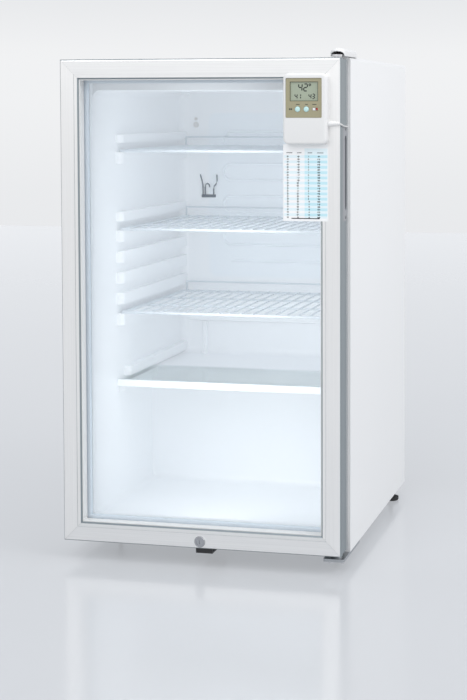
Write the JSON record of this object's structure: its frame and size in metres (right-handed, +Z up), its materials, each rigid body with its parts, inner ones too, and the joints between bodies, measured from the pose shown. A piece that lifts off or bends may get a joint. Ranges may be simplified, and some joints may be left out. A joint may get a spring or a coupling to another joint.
{
  "type": "reach-in refrigerator",
  "caption": "Counter-height reach-in refrigerator: hinged double-glazed door in an aluminium frame, wire and glass shelves, thermometer on the door, compressor at the back.",
  "frame": {"origin": "on the floor, under the middle of the whole object with the door closed", "axes": "+Z up, the door faces -Y, +X to the right when facing the door, metres"},
  "size_m": [0.5, 0.597, 0.884],
  "materials": {
    "white_enamel": "white baked enamel on sheet steel, low gloss",
    "zinc_sheet": "zinc-plated sheet steel",
    "foam": "rigid polyurethane foam, closed in",
    "liner_plastic": "thermoformed plastic, semi-gloss",
    "evaporator_paint": "painted roll-bonded aluminium",
    "white_plastic": "moulded plastic, smooth",
    "knob_plastic": "moulded plastic, satin",
    "dark_clip": "dark moulded plastic",
    "lamp_plastic": "milky translucent plastic",
    "black_steel": "black paint on steel",
    "black_plastic": "moulded plastic",
    "rubber": "soft moulded rubber",
    "copper": "drawn copper tube, slightly dulled",
    "hinge_steel": "ground steel, bright",
    "screw_steel": "zinc-plated screws, dull",
    "foot_plastic": "moulded plastic on a threaded stud",
    "satin_aluminium": "satin anodised extrusion, fine brushing along its length",
    "pane_glass": "clear float glass",
    "shelf_glass": "tempered glass, teal at its edges",
    "spacer": "folded aluminium bar, matt",
    "gasket": "soft magnetic gasket, white",
    "bush_plastic": "moulded nylon",
    "grip_plastic": "moulded plastic, grey",
    "lock_metal": "polished plating",
    "bezel": "olive printed plastic film",
    "lcd": "reflective liquid crystal display",
    "button_plastic": "pale teal moulded plastic",
    "card": "printed card with coloured rows",
    "cable": "thin plastic-sheathed cable",
    "shelf_wire": "white plastic-coated steel wire"
  },
  "bodies": {
    "cabinet": {"outer_wrap": "white_enamel", "back_panel": "zinc_sheet", "cabinet_screws": "screw_steel", "base_pan": "zinc_sheet", "foam_insulation": "foam", "inner_liner": "liner_plastic", "evaporator_plate": "evaporator_paint", "drip_gutter": "white_plastic", "drain_tube": "white_plastic", "sensor_clip": "dark_clip", "wall_plug": "white_plastic", "thermostat_housing": "white_plastic", "lamp_lens": "lamp_plastic", "compressor": "black_steel", "compressor_mounts": "rubber", "electrical_boxes": "black_plastic", "condenser_coil": "black_steel", "refrigerant_pipes": "copper", "evaporation_pan": "black_plastic", "top_hinge_plate": "zinc_sheet", "hinge_cover": "white_plastic", "bottom_hinge_plate": "zinc_sheet", "hinge_pins": "hinge_steel", "lock_strike": "zinc_sheet"},
    "door": {"door_top_rail": "satin_aluminium", "door_bottom_rail": "satin_aluminium", "door_left_stile": "satin_aluminium", "door_right_stile": "satin_aluminium", "glass_panes": "pane_glass", "spacer_bar": "spacer", "glazing_bead": "white_plastic", "inner_retainer": "liner_plastic", "door_gasket": "gasket", "hinge_bushes": "bush_plastic", "left_grip": "grip_plastic", "right_grip": "grip_plastic", "grip_screws": "screw_steel", "lock_housing": "lock_metal", "thermometer_case": "white_plastic", "thermometer_bezel": "bezel", "thermometer_display": "lcd", "conversion_card": "card", "probe_cable": "cable", "door_probe": "white_plastic"},
    "lock_core": {"lock_plug": "lock_metal", "lock_cam": "lock_metal"},
    "button_left": {"button_left": "button_plastic"},
    "button_right": {"button_right": "button_plastic"},
    "mode_switch": {"mode_switch": "white_plastic"},
    "thermostat_knob": {"thermostat_knob": "knob_plastic"},
    "light_switch": {"light_switch": "white_plastic"},
    "wire_shelf_top": {"wire_shelf_top": "shelf_wire"},
    "wire_shelf_middle": {"wire_shelf_middle": "shelf_wire"},
    "wire_shelf_bottom": {"wire_shelf_bottom": "shelf_wire"},
    "glass_shelf": {"glass_shelf": "shelf_glass", "glass_shelf_trim": "white_plastic"},
    "foot_front_left": {"foot_front_left": "foot_plastic"},
    "foot_front_right": {"foot_front_right": "foot_plastic"},
    "foot_rear_left": {"foot_rear_left": "foot_plastic"},
    "foot_rear_right": {"foot_rear_right": "foot_plastic"}
  },
  "joints": [
    {"name": "door_hinge", "type": "hinge", "parent": "cabinet", "child": "door", "pos_m": [0.235, -0.2495, 0.445], "axis": [0, 0, 1], "range_deg": [0, 120]},
    {"name": "lock_turn", "type": "hinge", "parent": "door", "child": "lock_core", "pos_m": [0, -0.2665, 0.0437], "axis": [0, 1, 0], "range_deg": [0, 90]},
    {"name": "button_left_press", "type": "slide", "parent": "door", "child": "button_left", "axis": [0, 1, 0], "range_m": [0, 0.001], "stiffness_N_per_m": 400},
    {"name": "button_right_press", "type": "slide", "parent": "door", "child": "button_right", "axis": [0, 1, 0], "range_m": [0, 0.001], "stiffness_N_per_m": 400},
    {"name": "mode_switch_slide", "type": "slide", "parent": "door", "child": "mode_switch", "axis": [1, 0, 0], "range_m": [0, 0.0036]},
    {"name": "knob_turn", "type": "hinge", "parent": "cabinet", "child": "thermostat_knob", "pos_m": [0.1895, -0.0415, 0.775], "axis": [-1, 0, 0], "range_deg": [0, 270]},
    {"name": "light_switch_rock", "type": "hinge", "parent": "cabinet", "child": "light_switch", "pos_m": [0.192, 0.0025, 0.775], "axis": [0, 0, 1], "range_deg": [-8, 8]},
    {"name": "wire_shelf_top_slide", "type": "slide", "parent": "cabinet", "child": "wire_shelf_top", "axis": [0, -1, 0], "range_m": [0, 0.09]},
    {"name": "wire_shelf_middle_slide", "type": "slide", "parent": "cabinet", "child": "wire_shelf_middle", "axis": [0, -1, 0], "range_m": [0, 0.09]},
    {"name": "wire_shelf_bottom_slide", "type": "slide", "parent": "cabinet", "child": "wire_shelf_bottom", "axis": [0, -1, 0], "range_m": [0, 0.09]},
    {"name": "glass_shelf_slide", "type": "slide", "parent": "cabinet", "child": "glass_shelf", "axis": [0, -1, 0], "range_m": [0, 0.09]},
    {"name": "foot_front_left_turn", "type": "hinge", "parent": "cabinet", "child": "foot_front_left", "pos_m": [-0.204, -0.1195, 0.01], "axis": [0, 0, 1], "continuous": true},
    {"name": "foot_front_right_turn", "type": "hinge", "parent": "cabinet", "child": "foot_front_right", "pos_m": [0.204, -0.1195, 0.01], "axis": [0, 0, 1], "continuous": true},
    {"name": "foot_rear_left_turn", "type": "hinge", "parent": "cabinet", "child": "foot_rear_left", "pos_m": [-0.232, 0.2455, 0.01], "axis": [0, 0, 1], "continuous": true},
    {"name": "foot_rear_right_turn", "type": "hinge", "parent": "cabinet", "child": "foot_rear_right", "pos_m": [0.232, 0.2455, 0.01], "axis": [0, 0, 1], "continuous": true}
  ]
}
